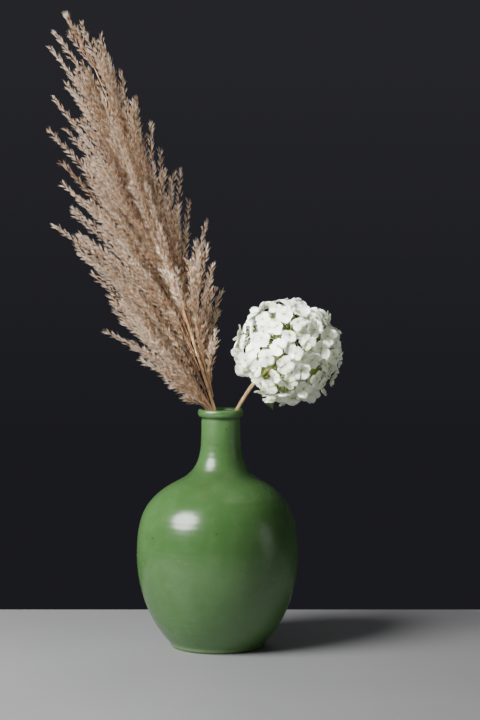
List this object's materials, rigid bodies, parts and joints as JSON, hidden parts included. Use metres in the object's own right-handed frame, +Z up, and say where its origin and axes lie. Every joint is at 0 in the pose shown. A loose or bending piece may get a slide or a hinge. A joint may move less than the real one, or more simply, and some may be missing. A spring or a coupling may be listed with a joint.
{
  "type": "vase of pampas grass and hydrangea",
  "caption": "Round-bellied glazed bottle vase with a flared lip, holding a leaning dried pampas plume and a white mophead hydrangea on a bare stem.",
  "frame": {"origin": "centre of the vase's flat foot, on the surface it stands on", "axes": "+Z up through the vase; -Y is the front; the plume leans to -X and the hydrangea to +X"},
  "size_m": [0.3352, 0.1858, 0.7251],
  "materials": {
    "glaze": "gloss mottled green glaze",
    "straw": "smooth dry straw",
    "plume": "soft dry plume",
    "wood": "thin ribbed bark",
    "petal": "matt thin petal",
    "leaf": "satin leaf"
  },
  "bodies": {
    "root": {"floret_cyme_01": "petal", "floret_cyme_02": "petal", "floret_cyme_03": "petal", "floret_cyme_04": "petal", "floret_cyme_05": "petal", "floret_cyme_06": "petal", "floret_cyme_07": "petal", "floret_cyme_08": "petal", "floret_cyme_09": "petal", "floret_cyme_10": "petal", "floret_cyme_11": "petal", "floret_cyme_12": "petal", "floret_cyme_13": "petal", "floret_cyme_14": "petal", "floret_cyme_15": "petal", "floret_cyme_16": "petal", "floret_cyme_17": "petal", "hydrangea_leaf_01": "leaf", "hydrangea_leaf_02": "leaf", "hydrangea_stem": "wood", "pampas_culm": "straw", "plume_branch_01": "plume", "plume_branch_02": "plume", "plume_branch_03": "plume", "plume_branch_04": "plume", "plume_branch_05": "plume", "plume_branch_06": "plume", "plume_branch_07": "plume", "plume_branch_08": "plume", "plume_branch_09": "plume", "plume_branch_10": "plume", "plume_branch_11": "plume", "plume_branch_12": "plume", "plume_branch_13": "plume", "plume_branch_14": "plume", "plume_branch_15": "plume", "plume_branch_16": "plume", "plume_branch_17": "plume", "plume_branch_18": "plume", "plume_branch_19": "plume", "plume_branch_20": "plume", "plume_branch_21": "plume", "plume_branch_22": "plume", "plume_branch_23": "plume", "plume_branch_24": "plume", "plume_branch_25": "plume", "plume_branch_26": "plume", "plume_branch_27": "plume", "plume_branch_28": "plume", "plume_branch_29": "plume", "plume_branch_30": "plume", "plume_branch_31": "plume", "plume_branch_32": "plume", "plume_branch_33": "plume", "plume_branch_34": "plume", "plume_branch_35": "plume", "plume_branch_36": "plume", "plume_branch_37": "plume", "plume_branch_38": "plume", "vase": "glaze"}
  },
  "joints": []
}
